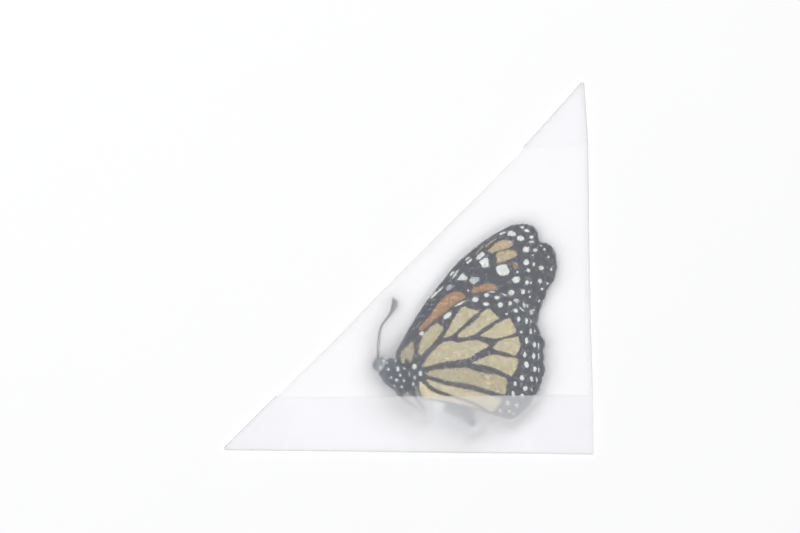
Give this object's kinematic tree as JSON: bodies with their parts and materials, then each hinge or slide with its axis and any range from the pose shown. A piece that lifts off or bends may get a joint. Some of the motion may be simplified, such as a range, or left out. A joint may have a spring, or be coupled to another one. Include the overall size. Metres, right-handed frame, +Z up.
{
  "type": "papered butterfly specimen in glassine triangle envelope",
  "caption": "Dried monarch butterfly, wings closed, stored flat inside a folded translucent glassine paper triangle envelope.",
  "frame": {"origin": "centre of the object's bounding box at its base, on the table under the back panel", "axes": "+Z up, out of the front panel; +Y towards the envelope's upper apex, along its short right edge; +X from the long fold's lower tip towards the square corner; the butterfly's head is towards -X and its left side faces +Z"},
  "size_m": [0.0948, 0.0956, 0.0051],
  "materials": {
    "glassine": "translucent glassine paper, smooth calendered, milky white",
    "wing_orange": "matt wing scales, orange with black veins and white spots",
    "wing_black": "matt wing scales, black with white spots",
    "wing_beige": "matt wing scales, pale buff with black veins and white marginal spots",
    "body_black": "short black hair with white dots"
  },
  "bodies": {
    "root": {"glassine_envelope": "glassine", "forewing_left": "wing_orange", "forewing_right": "wing_black", "hindwing_left": "wing_beige", "hindwing_right": "wing_beige", "head": "body_black", "thorax": "body_black", "abdomen": "body_black", "antenna_left": "body_black", "antenna_right": "body_black", "leg_mid_left": "body_black", "leg_mid_right": "body_black", "leg_hind_left": "body_black", "leg_hind_right": "body_black"}
  },
  "joints": []
}
